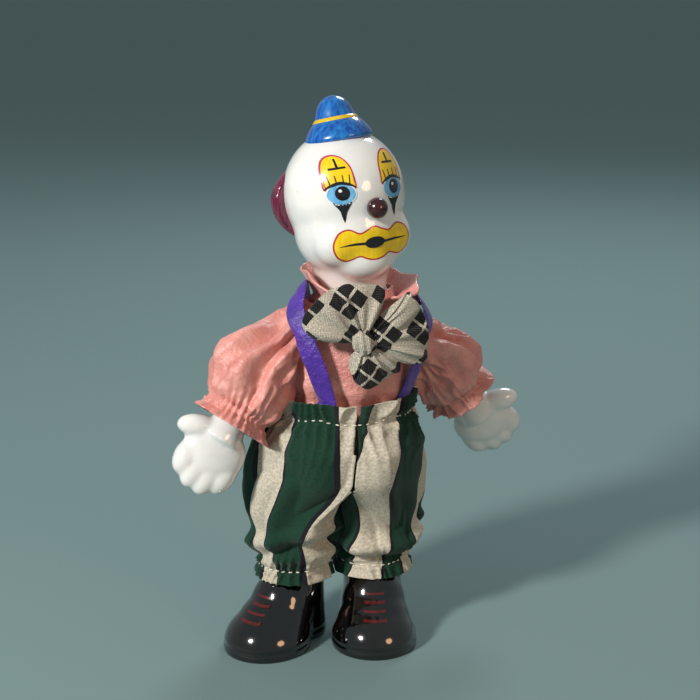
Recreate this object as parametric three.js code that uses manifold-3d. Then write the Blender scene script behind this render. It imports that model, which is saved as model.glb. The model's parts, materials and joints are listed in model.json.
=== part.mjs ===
// A small clown doll: glazed porcelain head, hands and boots on a stuffed cotton body with a
// wire armature, dressed in a satin shirt, striped trousers, ribbon braces and a bow tie.
// Millimetres, +Z up, the doll faces -Y and stands on Z = 0. Its own right side is -X.
import * as THREE from "three";
import { mergeVertices } from "three/addons/utils/BufferGeometryUtils.js";
import Module from "manifold-3d";

const wasm = await Module();
wasm.setup();

// ---- Driving dimensions ----
const gap = 0.5; // running clearance between neighbours
const sides = 18; // flats round a full turn of the coarse solids
const doll = { x: -5.03, y: 0.66 }; // where the middle of the hips stands in the part's frame
const waist = { tilt: 6 }; // the trunk leans to the doll's left
const hip = { right: 12.6, left: 10.5, z: 46, ball: 13.2 }; // the hips have slipped a little to the right
const neck = { z: 52, flange: 9.2, throat: 8.1, pitch: 6, roll: -10, yaw: 15 };
const shoulder = { x: 14, z: 45, ball: 6.3 };
const arm = { upper: 18, elbow: 6.8, fore: 17, cloth: 4.1, wire: 0.6, stubRoom: 3.7, lowest: 30 };
const leg = { cloth: 7.2, hem: 11.4, bore: 9, wire: 0.8 };
const boot = { shaft: 8.3, height: 23, stub: 5.4, halfWidth: 12.1, toe: 25.4 };
const ribbon = { width: 6, thick: 0.5 };
const bow = { y: -16.5, z: 40 };

// The pose: how far each limb stands from hanging straight down, in degrees.
const pose = {
  right: { swing: -12, raise: 39, elbow: -10, boot: -49 },
  left: { swing: 21, raise: 50, elbow: -6, boot: -10 },
};

// ---- Materials ----
const paint = (color, roughness, metalness = 0) =>
  new THREE.MeshStandardMaterial({ color, roughness, metalness });
const porcelain = paint(0xe9e9e6, 0.12);
const blackGlaze = paint(0x0b0b0c, 0.1);
const satin = paint(0xd98b7c, 0.38);
const trouserCotton = paint(0x0f3d31, 0.8);
const calico = paint(0xd8cdb8, 0.9);
const ribbonSatin = paint(0x3f1c86, 0.35);
const bowCotton = paint(0xd9d3c6, 0.85);
const steelWire = paint(0x8d9196, 0.4, 1);
const thread = paint(0xe8e4da, 0.8);
const elastic = paint(0xf0eee8, 0.7);

// ---- Helpers ----
const rad = THREE.MathUtils.degToRad;

// A closed geometry as a manifold-3d solid.
function solid(geometry) {
  const bare = new THREE.BufferGeometry();
  const source = geometry.index ? geometry.toNonIndexed() : geometry;
  bare.setAttribute("position", source.getAttribute("position"));
  const merged = mergeVertices(bare, 1e-4);
  return new wasm.Manifold(
    new wasm.Mesh({
      numProp: 3,
      vertProperties: merged.attributes.position.array,
      triVerts: new Uint32Array(merged.index.array),
    }),
  );
}

// A manifold-3d solid as a geometry.
function geometryOf(shape) {
  const { vertProperties, triVerts } = shape.getMesh();
  return new THREE.BufferGeometry()
    .setAttribute("position", new THREE.BufferAttribute(vertProperties, 3))
    .setIndex(new THREE.BufferAttribute(triVerts, 1));
}

function cut(geometry, ...tools) {
  return geometryOf(
    tools.reduce((left, tool) => left.subtract(solid(tool)), solid(geometry)),
  );
}

function join(...parts) {
  return geometryOf(
    parts.map(solid).reduce((whole, part) => whole.add(part)),
  );
}

// Points on a circle about the axis at height z, from one angle off +Z to another.
function arc(radius, z, from, to, steps = 3) {
  return Array.from({ length: steps + 1 }, (_, i) => {
    const angle = rad(from + ((to - from) * i) / steps);
    return [radius * Math.sin(angle), z + radius * Math.cos(angle)];
  });
}

// Turns an outline of [radius, height] pairs round Z. The outline runs downwards on the outside.
function turned(outline, segments = sides) {
  const points = outline.map(([r, z]) => new THREE.Vector2(Math.max(r, 0), z));
  return new THREE.LatheGeometry(points.reverse(), segments).rotateX(
    Math.PI / 2,
  );
}

// A shell between an outer and an inner outline, both listed from the top down.
function shell(outer, inner, segments = sides) {
  return turned([...outer, ...inner.toReversed(), outer[0]], segments);
}

function ellipsoid([x, y, z], [a, b, c], across = sides, up = sides / 2) {
  return new THREE.SphereGeometry(1, across, up)
    .rotateX(Math.PI / 2)
    .scale(a, b, c)
    .translate(x, y, z);
}

// A capsule-like solid between two balls, with its axis on Z.
function limb(topR, topZ, lowR, lowZ, segments = sides) {
  return turned(
    [...arc(topR, topZ, 0, 90), ...arc(lowR, lowZ, 90, 180)],
    segments,
  );
}

function box(width, depth, height, x, y, z) {
  return new THREE.BoxGeometry(width, depth, height).translate(x, y, z);
}

function rod(radius, topZ, lowZ) {
  return turned([[0, topZ], [radius, topZ], [radius, lowZ], [0, lowZ]], 8);
}

function ring(radius, tube, z) {
  return new THREE.TorusGeometry(radius, tube, 4, sides).translate(0, 0, z);
}

function piece(parent, name, geometry, material) {
  const mesh = new THREE.Mesh(geometry, material);
  mesh.name = name;
  parent.add(mesh);
  return mesh;
}

function pivot(parent, name, x, y, z) {
  const group = new THREE.Group();
  group.name = name;
  group.position.set(x, y, z);
  parent.add(group);
  return group;
}

// ---- The whole doll and its leaning trunk ----
const clown = new THREE.Group();
const hips = pivot(clown, "hips", doll.x, doll.y, 0);
const trunk = pivot(hips, "trunk", 0, 0, hip.z);
trunk.rotation.y = rad(waist.tilt);

// The room that an arm needs as it swings round the line between the shoulders.
function armSweep(side) {
  const lean = rad(90 - arm.lowest);
  const reach = (r) => r / Math.tan(lean) - (arm.elbow + gap) / Math.sin(lean);
  const [wide, narrow] = [26, 6.6];
  return turned([
    [0, 40], [wide, 40], [wide, reach(wide)], [narrow, reach(narrow)], [0, -shoulder.ball - gap],
  ])
    .rotateY(side === "right" ? -Math.PI / 2 : Math.PI / 2)
    .translate(side === "right" ? -shoulder.x : shoulder.x, 0, shoulder.z);
}

const depth = 0.86; // the trunk's depth as a share of its width
// The hips' ball rooms, leant back into the leaning trunk.
const hipRooms = [-hip.right, hip.left].map((x) =>
  ellipsoid([x, 0, 0], Array(3).fill(hip.ball + gap)).rotateY(rad(-waist.tilt)),
);
const flangeRoom = ellipsoid([0, 0, neck.z], Array(3).fill(neck.flange + gap));
const neckHole = turned([[0, 70], [neck.flange + 1, 70], [neck.flange + 1, neck.z + 1], [0, neck.z + 1]]);
const armRooms = ["right", "left"].map(armSweep);

function makeTrunk() {
  const bagOutline = [
    [0, 52.6], [9.4, 52.6], [11.6, 50], [12.4, 44], [12, 30], [12.2, 14], [10, 6], [0, 4],
  ];
  const wire = new THREE.CylinderGeometry(arm.wire, arm.wire, 15, 8)
    .rotateZ(Math.PI / 2)
    .translate(0, 0, shoulder.z - 6);
  const wireRoom = new THREE.CylinderGeometry(arm.wire + gap, arm.wire + gap, 24, 8)
    .rotateZ(Math.PI / 2)
    .translate(0, 0, shoulder.z - 6);
  piece(trunk, "torso_bag",
    cut(turned(bagOutline).scale(1, depth, 1), flangeRoom, neckHole, wireRoom, ...hipRooms, ...armRooms),
    calico);
  piece(trunk, "torso_wire", wire, steelWire);

  const shirtOuter = [
    [10.8, 54.4], [12.2, 53], [14.2, 49.5], [14.8, 44], [14.2, 28], [14, 15],
  ];
  const shirtInner = [
    [10.7, 53.6], [11.9, 51.8], [13.1, 48], [13.5, 44], [12.9, 28], [12.8, 15],
  ];
  piece(trunk, "shirt_body",
    cut(shell(shirtOuter, shirtInner).scale(1, depth, 1), flangeRoom, neckHole, ...armRooms),
    satin);

  const collar = shell([[14.7, 60.4], [12.7, 55.8]], [[13.7, 60.4], [11.9, 55.8]]);
  const frontOpening = box(11, 10, 12, 0, -12, 57);
  piece(trunk, "shirt_collar", cut(collar, frontOpening), satin);
}

// A brace: a ribbon over the shoulder from the front of the waist to the back.
function makeBrace(side) {
  const sign = side === "right" ? -1 : 1;
  const points = [
    [4.8, -12.2, 22.6], [6, -12.7, 30], [7.6, -12.8, 40], [10.3, -11, 49], [15.4, -5, 54],
    [16.2, 1, 54.6], [14.2, 7.6, 53.2], [9.6, 12, 46], [7, 12.8, 38], [5.4, 12.6, 28], [4.8, 12.2, 22.6],
  ].map(([x, y, z]) => new THREE.Vector3(sign * x, y, z));
  const section = new THREE.Shape();
  section.moveTo(-ribbon.thick / 2, -ribbon.width / 2);
  section.lineTo(ribbon.thick / 2, -ribbon.width / 2);
  section.lineTo(ribbon.thick / 2, ribbon.width / 2);
  section.lineTo(-ribbon.thick / 2, ribbon.width / 2);
  const band = new THREE.ExtrudeGeometry(section, {
    steps: 14,
    extrudePath: new THREE.CatmullRomCurve3(points),
  });
  piece(trunk, `${side}_brace`, band, ribbonSatin);
}

// The bow tie: two stuffed-looking loops on either side of a bound knot.
function makeBow() {
  const place = (shape, turn, x, z) =>
    shape.rotateY(rad(turn)).translate(x, bow.y, bow.z + z);
  piece(trunk, "bow_right_loop",
    place(ellipsoid([-10.6, 0, 0], [7.2, 2, 7.2]), -2, 0.6, 3.4), bowCotton);
  piece(trunk, "bow_left_loop",
    place(ellipsoid([10.6, 0, 0], [7.2, 2, 8.2]), 22, -1.4, -0.4), bowCotton);
  piece(trunk, "bow_knot",
    place(ellipsoid([0, 0, 0], [1.7, 2.4, 2.8]), 10, -0.9, 1.6), bowCotton);
}

// The seat of the trousers, with the gathered waist.
function makeSeat() {
  const outer = [[20.4, 27], [20.2, 24], [19.6, 21.5], [21.6, 18], [24, 12], [25.4, 6.5]];
  const inner = [[19.2, 27], [19, 24], [18.6, 21.5], [18.4, 18], [18.4, 12], [18, 6.5]];
  piece(trunk, "trouser_seat",
    cut(shell(outer, inner).scale(1, 0.76, 1), ...hipRooms), trouserCotton);
  piece(trunk, "waist_elastic",
    new THREE.TorusGeometry(17.4, 0.4, 4, sides).scale(1, 0.78, 1).translate(0, 0, 21.4), elastic);
}

// ---- The head ----
function makeHead() {
  const nod = pivot(trunk, "neck_pivot", 0, 0, neck.z);
  nod.rotation.order = "ZYX";
  nod.rotation.set(rad(-neck.pitch), rad(neck.roll), rad(neck.yaw));
  piece(nod, "neck_tie_thread", ring(8.9, 0.35, 3.4), thread);

  const skull = ellipsoid([0, 0.4, 31], [16.9, 17, 17.6]);
  const jaw = ellipsoid([0, -1.8, 20.4], [16.3, 15.4, 13.2]);
  const chin = ellipsoid([0, -8.6, 13.4], [8.4, 7.6, 6.4]);
  const nose = ellipsoid([0, -17.3, 27.4], [2.9, 2.9, 2.9]);
  const throat = turned([
    [0, 16], [11.5, 16], [10.4, 8], [8.7, 5], [neck.throat, 3.4],
    ...arc(neck.flange, 0, 72, 145), [0, neck.flange * Math.cos(rad(145))],
  ]);
  const hat = turned([
    ...arc(6.4, 52.2, 0, 86), [6.9, 50.6], [7.5, 49.6], [9.2, 47.4], [10.1, 45], [9.6, 43.6], [0, 43],
  ]).rotateX(rad(2));
  const hair = cut(
    ellipsoid([0, 5, 29], [18.2, 17.4, 10.6]),
    box(50, 40, 40, 0, -19, 29),
  );
  const hollow = ellipsoid([0, 0, 29], [13.8, 13.8, 16.5]);
  const bore = turned([[0, 20], [6, 20], [6, -12], [0, -12]]);
  piece(nod, "head", cut(join(skull, jaw, chin, nose, throat, hat, hair), hollow, bore), porcelain);
}

// ---- The arms ----
function makeArm(side) {
  const sign = side === "right" ? -1 : 1;
  const { swing, raise, elbow } = pose[side];
  const socket = pivot(trunk, `${side}_shoulder_pivot`, sign * shoulder.x, 0, shoulder.z);
  socket.rotation.x = rad(swing);
  piece(socket, `${side}_shoulder_link`, ring(1.5, 0.5, 0).rotateY(Math.PI / 2), steelWire);

  const upper = pivot(socket, `${side}_arm_pivot`, 0, 0, 0);
  upper.rotation.y = rad(-sign * raise);
  const elbowGap = arm.elbow * (1 / Math.cos(rad(31)) - 1) + gap / 2;
  const lowBall = -(arm.upper - elbowGap - arm.elbow);
  const clothEnd = -(arm.upper - 1.2 - arm.cloth);
  const wireRoom = rod(arm.wire + gap, 1, -13);
  const linkRoom = rod(2.6, 6, -2.4);
  piece(upper, `${side}_upper_arm`,
    cut(limb(arm.cloth, 0, arm.cloth, clothEnd), wireRoom, linkRoom), calico);
  piece(upper, `${side}_arm_wire`, rod(arm.wire, -3, -12.6), steelWire);
  const mouth = arm.cloth + 0.5;
  const angleAt = (r, ball) => THREE.MathUtils.radToDeg(Math.asin(r / ball));
  piece(upper, `${side}_sleeve_upper`,
    shell(
      [...arc(shoulder.ball, 0, angleAt(mouth, shoulder.ball), 96),
        ...arc(arm.elbow, lowBall, 84, 180 - angleAt(mouth, arm.elbow))],
      [[mouth, shoulder.ball * Math.cos(Math.asin(mouth / shoulder.ball)) - 0.8], [mouth, lowBall - 5.8]]),
    satin);

  const fore = pivot(upper, `${side}_elbow_pivot`, 0, 0, -arm.upper);
  fore.rotation.y = rad(-sign * elbow);
  piece(fore, `${side}_forearm`,
    cut(turned([...arc(arm.cloth, -1.2 - arm.cloth, 0, 90), [arm.cloth + 0.2, -13], [0, -13]]),
      rod(arm.stubRoom, -7, -14), rod(arm.wire + gap, -3, -8)),
    calico);
  piece(fore, `${side}_forearm_wire`, rod(arm.wire, -3.4, -6.6), steelWire);
  piece(fore, `${side}_wrist_tie`, ring(arm.cloth + 0.8, 0.3, -10.5), thread);
  const topBall = -(elbowGap + arm.elbow);
  piece(fore, `${side}_sleeve_lower`,
    shell(
      [...arc(arm.elbow, topBall, angleAt(mouth, arm.elbow), 88), [9.6, -13.4], [8.7, -15.4], [10, -17.4]],
      [[mouth, topBall + 6.2], [mouth + 1.2, -7], [7.4, -13.4], [7.2, -15.4], [8.8, -17.4]]),
    satin);
  piece(fore, `${side}_cuff_elastic`, ring(6.7, 0.3, -15.4), elastic);

  const wrist = pivot(fore, `${side}_wrist_pivot`, 0, 0, -arm.fore);
  const thumb = limb(3, 0, 2.7, -8.4)
    .rotateY(rad(-sign * 62))
    .translate(sign * 4.6, -0.6, -4.4);
  const stub = turned([
    [0, 9.6], [3.3, 9.6], [3.3, 7.6], [2.8, 6.6], [3.3, 5.6], [3.4, 3.6], [5.2, 0.5], [5.6, -5], [0, -7],
  ]);
  piece(wrist, `${side}_hand`,
    join(ellipsoid([sign * -0.4, 0, -10.6], [9.4, 4.9, 10.2]), thumb, stub), porcelain);
}

// ---- The legs ----
function makeLeg(side) {
  const sign = side === "right" ? -1 : 1;
  const swing = pivot(hips, `${side}_hip_pivot`, sign * hip[side], 0, hip.z);
  const middle = (hip.right + hip.left) / 2 - 0.3; // how far the face between the legs is from the hip
  const otherSide = box(20, 80, 120, -sign * (middle + 10), 0, -20);
  piece(swing, `${side}_leg`,
    cut(turned([...arc(leg.cloth, 0, 0, 90), [leg.cloth - 0.2, -22], [0, -22]]),
      rod(boot.stub + gap, -13.6, -23), rod(leg.wire + gap, -1, -14.6)),
    calico);
  piece(swing, `${side}_leg_wire`, rod(leg.wire, -1.4, -13.2), steelWire);
  const top = THREE.MathUtils.radToDeg(Math.asin(leg.bore / hip.ball));
  piece(swing, `${side}_trouser_leg`,
    cut(shell(
      [...arc(hip.ball, 0, top, 108, 4), [12.3, -12], [11.4, -18], [10.4, -21], [leg.hem, -26]],
      [[leg.bore, hip.ball * Math.cos(rad(top)) - 1], [leg.bore, -12], [leg.bore, -21], [leg.bore + 0.6, -26]],
    ), otherSide),
    trouserCotton);
  piece(swing, `${side}_leg_tie`, ring(leg.cloth + 0.5, 0.35, -18.6), thread);
  piece(swing, `${side}_hem_elastic`, ring(leg.bore - 0.45, 0.3, -21.4), elastic);

  const turn = pivot(swing, `${side}_boot_pivot`, 0, 0, -hip.z);
  turn.rotation.z = rad(pose[side].boot);
  const shaft = turned([
    [0, 31.4], [boot.stub, 31.4], [boot.stub, 29], [boot.stub - 0.7, 27.4], [boot.stub, 25.8],
    [boot.stub, 23.6], [boot.shaft - 0.6, boot.height], [boot.shaft, boot.height - 2],
    [boot.shaft, 12], [boot.shaft + 0.3, 6], [boot.shaft + 0.2, 1], [0, 1],
  ]);
  const foot = ellipsoid([0, 13.4 - boot.toe, 2], [boot.halfWidth, 13.4, 10.8]);
  const instep = ellipsoid([0, -6, 7], [9.4, 9.8, 11.6]);
  const heel = ellipsoid([0, 0.4, 1.4], [8.6, 8.6, 9]);
  const floor = box(80, 80, 40, 0, 0, -20);
  piece(turn, `${side}_boot`, cut(join(shaft, foot, instep, heel), floor), blackGlaze);
}

makeTrunk();
makeSeat();
makeBow();
makeHead();
for (const side of ["right", "left"]) {
  makeBrace(side);
  makeArm(side);
  makeLeg(side);
}

export default clown;
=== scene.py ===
import json
from math import atan2, copysign, cos, exp, pi, radians, sin

import bmesh
import bpy
from mathutils import Matrix, Vector, noise
from mathutils.bvhtree import BVHTree


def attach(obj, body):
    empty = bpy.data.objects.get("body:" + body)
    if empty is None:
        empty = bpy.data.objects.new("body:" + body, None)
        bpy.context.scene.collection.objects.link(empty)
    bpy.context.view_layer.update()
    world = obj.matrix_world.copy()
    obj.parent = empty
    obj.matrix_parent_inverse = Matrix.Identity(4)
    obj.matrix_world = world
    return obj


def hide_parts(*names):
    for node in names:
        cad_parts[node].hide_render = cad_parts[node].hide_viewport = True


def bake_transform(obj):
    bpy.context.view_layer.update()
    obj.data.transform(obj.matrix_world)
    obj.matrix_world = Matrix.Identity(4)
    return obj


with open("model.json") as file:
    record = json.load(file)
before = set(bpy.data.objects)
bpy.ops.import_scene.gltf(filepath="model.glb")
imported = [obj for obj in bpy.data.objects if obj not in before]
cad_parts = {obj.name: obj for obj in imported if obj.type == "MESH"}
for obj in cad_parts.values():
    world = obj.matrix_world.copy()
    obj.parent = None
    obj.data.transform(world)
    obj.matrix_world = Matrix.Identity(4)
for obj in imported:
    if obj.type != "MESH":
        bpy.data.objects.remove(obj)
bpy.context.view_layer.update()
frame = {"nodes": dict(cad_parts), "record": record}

mm = 0.001
sides = ("right", "left")
signs = {"right": -1, "left": 1}


# sRGB hex to the linear colour that the shaders work in
def hexColour(code):
    parts = [int(code[i:i + 2], 16) / 255 for i in (0, 2, 4)]
    return tuple(c / 12.92 if c <= 0.04045 else ((c + 0.055) / 1.055) ** 2.4 for c in parts) + (1.0,)


def mix(a, b, t):
    return a + (b - a) * t


def smooth(low, high, x):
    t = min(max((x - low) / (high - low), 0), 1)
    return t * t * (3 - 2 * t)


def rotation(degrees, axis):
    return Matrix.Rotation(radians(degrees), 4, axis)


# Frames of the limbs, taken from the joints: each turns local millimetres into the scene's metres
joints = {joint["name"]: joint for joint in frame["record"]["behaviour"]["joints"]}


def jointPlace(name):
    return Vector(joints[name]["pos_m"]), Vector(joints[name]["axis"]).normalized()


def axesFrame(origin, xAxis, zAxis):
    zAxis = zAxis.normalized()
    yAxis = zAxis.cross(xAxis).normalized()
    xAxis = yAxis.cross(zAxis)
    turn = Matrix((xAxis, yAxis, zAxis)).transposed().to_4x4()
    return Matrix.Translation(origin) @ turn @ Matrix.Scale(mm, 4)


neckAt, trunkUp = jointPlace("neck_turn")
hipPlaces = {side: jointPlace(f"{side}_hip")[0] for side in sides}
trunkAcross = jointPlace("right_arm_swing")[1]
trunkHeight = 52
trunkLean = radians(6)
trunkFrame = axesFrame(neckAt - trunkUp * trunkHeight * mm, trunkAcross, trunkUp)

headTilt = {"pitch": -6, "roll": -10, "yaw": 15}
headTurn = (rotation(headTilt["yaw"], "Z")
            @ rotation(headTilt["roll"], "Y")
            @ rotation(headTilt["pitch"], "X"))
headFrame = trunkFrame @ Matrix.Translation((0, 0, trunkHeight)) @ headTurn

armFrames = {}
foreFrames = {}
handFrames = {}
legFrames = {}
bootFrames = {}
bootTurn = {"right": -49, "left": -10}
for side in sides:
    shoulderAt, raiseAxis = jointPlace(f"{side}_arm_raise")
    elbowAt, bendAxis = jointPlace(f"{side}_elbow")
    wristAt, wristAxis = jointPlace(f"{side}_hand_turn")
    armUp = (shoulderAt - elbowAt).normalized()
    armFrames[side] = axesFrame(shoulderAt, raiseAxis.cross(armUp), armUp)
    foreFrames[side] = axesFrame(elbowAt, bendAxis.cross(wristAxis), wristAxis)
    handFrames[side] = axesFrame(wristAt, bendAxis.cross(wristAxis), wristAxis)
    upright = Vector((0, 0, 1))
    legFrames[side] = axesFrame(hipPlaces[side], Vector((1, 0, 0)), upright)
    ankleAt = jointPlace(f"{side}_boot_turn")[0]
    toe = rotation(bootTurn[side], "Z")
    bootFrames[side] = axesFrame(Vector((ankleAt.x, ankleAt.y, 0)), toe @ Vector((1, 0, 0)), upright)


# A new shader node. Each socket takes a constant, or another node's output to link to.
def addNode(tree, kind, sockets=None, **props):
    node = tree.nodes.new("ShaderNode" + kind)
    for name, value in props.items():
        setattr(node, name, value)
    for name, value in (sockets or {}).items():
        if isinstance(value, bpy.types.NodeSocket):
            tree.links.new(value, node.inputs[name])
        else:
            node.inputs[name].default_value = value
    return node


def newMaterial(name, colour="808080", rough=0.5, **sockets):
    material = bpy.data.materials.new(name)
    material.use_nodes = True
    tree = material.node_tree
    shader = tree.nodes["Principled BSDF"]
    shader.inputs["Base Color"].default_value = hexColour(colour)
    shader.inputs["Roughness"].default_value = rough
    for socket, value in sockets.items():
        shader.inputs[socket.replace("_", " ")].default_value = value
    return material, tree, shader


def colourFrom(tree, shader, colour):
    tree.links.new(colour, shader.inputs["Base Color"])


def bumpFrom(tree, shader, height, strength, distance):
    bump = addNode(tree, "Bump", {"Strength": strength, "Distance": distance, "Height": height})
    tree.links.new(bump.outputs["Normal"], shader.inputs["Normal"])


def ramp(tree, source, stops, blend="LINEAR"):
    node = addNode(tree, "ValToRGB", {"Fac": source})
    elements = node.color_ramp.elements
    node.color_ramp.interpolation = blend
    while len(elements) < len(stops):
        elements.new(0.5)
    for element, (place, colour) in zip(elements, stops):
        element.position = place
        element.color = hexColour(colour)
    return node.outputs["Color"]


def mathNode(tree, operation, *values):
    return addNode(tree, "Math", dict(enumerate(values)), operation=operation).outputs["Value"]


# Noise over the object itself, in features per metre
def objectNoise(tree, scale, detail, **sockets):
    place = addNode(tree, "TexCoord").outputs["Object"]
    return addNode(tree, "TexNoise",
                   {"Scale": scale, "Detail": detail, "Vector": place, **sockets}).outputs["Fac"]


# Noise over a cloth's flat size, in features per millimetre
def clothNoise(tree, cloth, scale, detail, **sockets):
    return addNode(tree, "TexNoise",
                   {"Scale": scale, "Detail": detail, "Vector": cloth, **sockets}).outputs["Fac"]


def mixColours(tree, factor, first, second, blend="MIX"):
    return addNode(tree, "Mix", {"Factor": factor, "A": first, "B": second}, data_type="RGBA",
                   blend_type=blend).outputs["Result"]


# A bmesh becomes a piece in the scene's metres. It rides on one body; given a span of two bodies, (first,
# second, start, end), it stays where it was built, bent by neither.
def makePiece(name, bm, place, material, body, replaces=(), flip=False):
    bmesh.ops.transform(bm, matrix=place, verts=bm.verts)
    if flip:
        bmesh.ops.reverse_faces(bm, faces=bm.faces)
    mesh = bpy.data.meshes.new(name)
    bm.to_mesh(mesh)
    bm.free()
    mesh.materials.append(material)
    for face in mesh.polygons:
        face.use_smooth = True
    piece = bpy.data.objects.new(name, mesh)
    bpy.context.scene.collection.objects.link(piece)
    if isinstance(body, str):
        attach(piece, body)
    else:
        first, second, start, end = body
        tuple(start)
        tuple(end)
        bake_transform(piece)
    if replaces:
        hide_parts(*replaces)
    return piece


# The modifiers' result becomes the mesh itself
def settle(piece):
    graph = bpy.context.evaluated_depsgraph_get()
    graph.update()
    final = bpy.data.meshes.new_from_object(piece.evaluated_get(graph))
    piece.modifiers.clear()
    piece.data = final
    for face in final.polygons:
        face.use_smooth = True
    return piece


def thickened(piece, thickness, offset=-1):
    thick = piece.modifiers.new("Thickness", "SOLIDIFY")
    thick.thickness = thickness * mm
    thick.offset = offset


def subdivided(piece, levels=2):
    subsurf = piece.modifiers.new("Subdivision", "SUBSURF")
    subsurf.levels = levels
    subsurf.render_levels = levels
    return piece


def addLump(bm, centre, radii, turn=None, across=32, up=20):
    place = Matrix.Translation(centre)
    if turn is not None:
        place = place @ turn
    place = place @ Matrix.Diagonal((*radii, 1))
    bmesh.ops.create_uvsphere(bm, u_segments=across, v_segments=up, radius=1, matrix=place)


# A closed turned solid from its outline of (radius, height), top first
def addTurned(bm, outline, steps=48):
    verts = [bm.verts.new((radius, 0, height)) for radius, height in outline]
    edges = [bm.edges.new(pair) for pair in zip(verts, verts[1:])]
    bmesh.ops.spin(bm, geom=verts + edges, cent=(0, 0, 0), axis=(0, 0, 1), angle=2 * pi,
                   steps=steps, use_merge=True)
    bmesh.ops.remove_doubles(bm, verts=bm.verts, dist=1e-4)
    bmesh.ops.recalc_face_normals(bm, faces=bm.faces)


def cutAcross(bm, place, normal, **options):
    bmesh.ops.bisect_plane(bm, geom=bm.verts[:] + bm.edges[:] + bm.faces[:], plane_co=place, plane_no=normal,
                           **options)


# Cuts off what lies below a plane and closes the cut
def sliced(bm, place, normal):
    cutAcross(bm, place, normal, clear_inner=True)
    bmesh.ops.holes_fill(bm, edges=bm.edges)


# Overlapping lumps melt into one slip-cast form: remeshed in millimetres, then smoothed
def castForm(bm, voxel, rounds):
    mesh = bpy.data.meshes.new("cast")
    bm.to_mesh(mesh)
    bm.free()
    rough = bpy.data.objects.new("cast", mesh)
    bpy.context.scene.collection.objects.link(rough)
    melt = rough.modifiers.new("Remesh", "REMESH")
    melt.mode = "VOXEL"
    melt.voxel_size = voxel
    soften = rough.modifiers.new("Smooth", "SMOOTH")
    soften.factor = 0.5
    soften.iterations = rounds
    settle(rough)
    cast = bmesh.new()
    cast.from_mesh(rough.data)
    bpy.data.objects.remove(rough)
    return cast


# Glazed hard-paste porcelain: a white body under a clear glass coat with faint pooling and a few specks
def porcelainMaterial(name, scuffs):
    material, tree, shader = newMaterial(name, "e9e8e4", 0.16, IOR=1.52, Coat_Weight=1.0, Coat_Roughness=0.04,
                                         Subsurface_Weight=0.12, Subsurface_Scale=0.0015)
    shader.inputs["Subsurface Radius"].default_value = (1.0, 0.8, 0.7)
    tint = ramp(tree, objectNoise(tree, 90.0, 3.0), ((0.3, "dfe2e2"), (0.7, "f1efea")))
    # scuffs: small tan chips where the glaze has worn, about 1 mm
    chips = objectNoise(tree, 420.0, 4.0, Roughness=0.7)
    worn = ramp(tree, chips, ((scuffs, "000000"), (scuffs + 0.02, "ffffff")))
    colourFrom(tree, shader, mixColours(tree, worn, tint, hexColour("a8917c")))
    # the glaze lies in slow waves a few millimetres long
    bumpFrom(tree, shader, objectNoise(tree, 160.0, 1.0), 0.25, 0.0002)
    return material


# Overglaze enamel brushed on and fired: full colour with thin streaks where the brush ran dry
def enamelMaterial(name, colour, thin, streak=(900.0, 900.0, 220.0)):
    material, tree, shader = newMaterial(name, colour, 0.22, Coat_Weight=0.6, Coat_Roughness=0.06)
    place = addNode(tree, "TexCoord").outputs["Object"]
    stretch = addNode(tree, "Mapping", {"Scale": streak, "Vector": place})
    brush = clothNoise(tree, stretch.outputs["Vector"], 1.0, 3.0)
    colourFrom(tree, shader, ramp(tree, brush, ((0.35, colour), (0.68, thin))))
    bumpFrom(tree, shader, brush, 0.15, 0.0001)
    return material


# Black boot glaze: a glass-black coat with brown breaking through where it is thin over edges
def bootMaterial():
    material, tree, shader = newMaterial("blackBootGlaze", "070707", 0.12, IOR=1.55, Coat_Weight=1.0,
                                         Coat_Roughness=0.05)
    thin = objectNoise(tree, 110.0, 4.0)
    colourFrom(tree, shader, ramp(tree, thin, ((0.45, "040405"), (0.78, "170d0b"))))
    bumpFrom(tree, shader, thin, 0.3, 0.0003)
    return material


# A woven cloth's UV, which is in millimetres, and its threads: one each way per pitch
def weave(tree, pitch, skew=1.0):
    cloth = addNode(tree, "UVMap", uv_map="cloth").outputs["UV"]
    place = addNode(tree, "Mapping", {"Scale": (1 / pitch, skew / pitch, 1.0), "Vector": cloth})
    # a wave texture of this scale has one band per unit
    onePerUnit = 0.314
    threads = [addNode(tree, "TexWave",
                       {"Scale": onePerUnit, "Distortion": 0.6, "Detail": 1.0,
                        "Vector": place.outputs["Vector"]},
                       bands_direction=axis).outputs["Fac"] for axis in ("X", "Y")]
    return cloth, mathNode(tree, "MULTIPLY", *threads)


# Polyester satin: long floats that shine across the folds, with fine crinkles from washing and storage
def satinMaterial(name, colour, light, pitch, sheen):
    material, tree, shader = newMaterial(name, colour, 0.3, Specular_IOR_Level=0.7, Sheen_Weight=sheen,
                                         Sheen_Roughness=0.35, Anisotropic=0.5)
    cloth, threads = weave(tree, pitch, 0.35)
    tone = clothNoise(tree, cloth, 0.16, 5.0)
    colourFrom(tree, shader, ramp(tree, tone, ((0.3, colour), (0.72, light))))
    crinkle = clothNoise(tree, cloth, 0.55, 6.0, Roughness=0.6)
    bumpFrom(tree, shader, mathNode(tree, "MULTIPLY_ADD", threads, 0.03, crinkle), 0.85, 0.0008)
    return material


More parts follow.
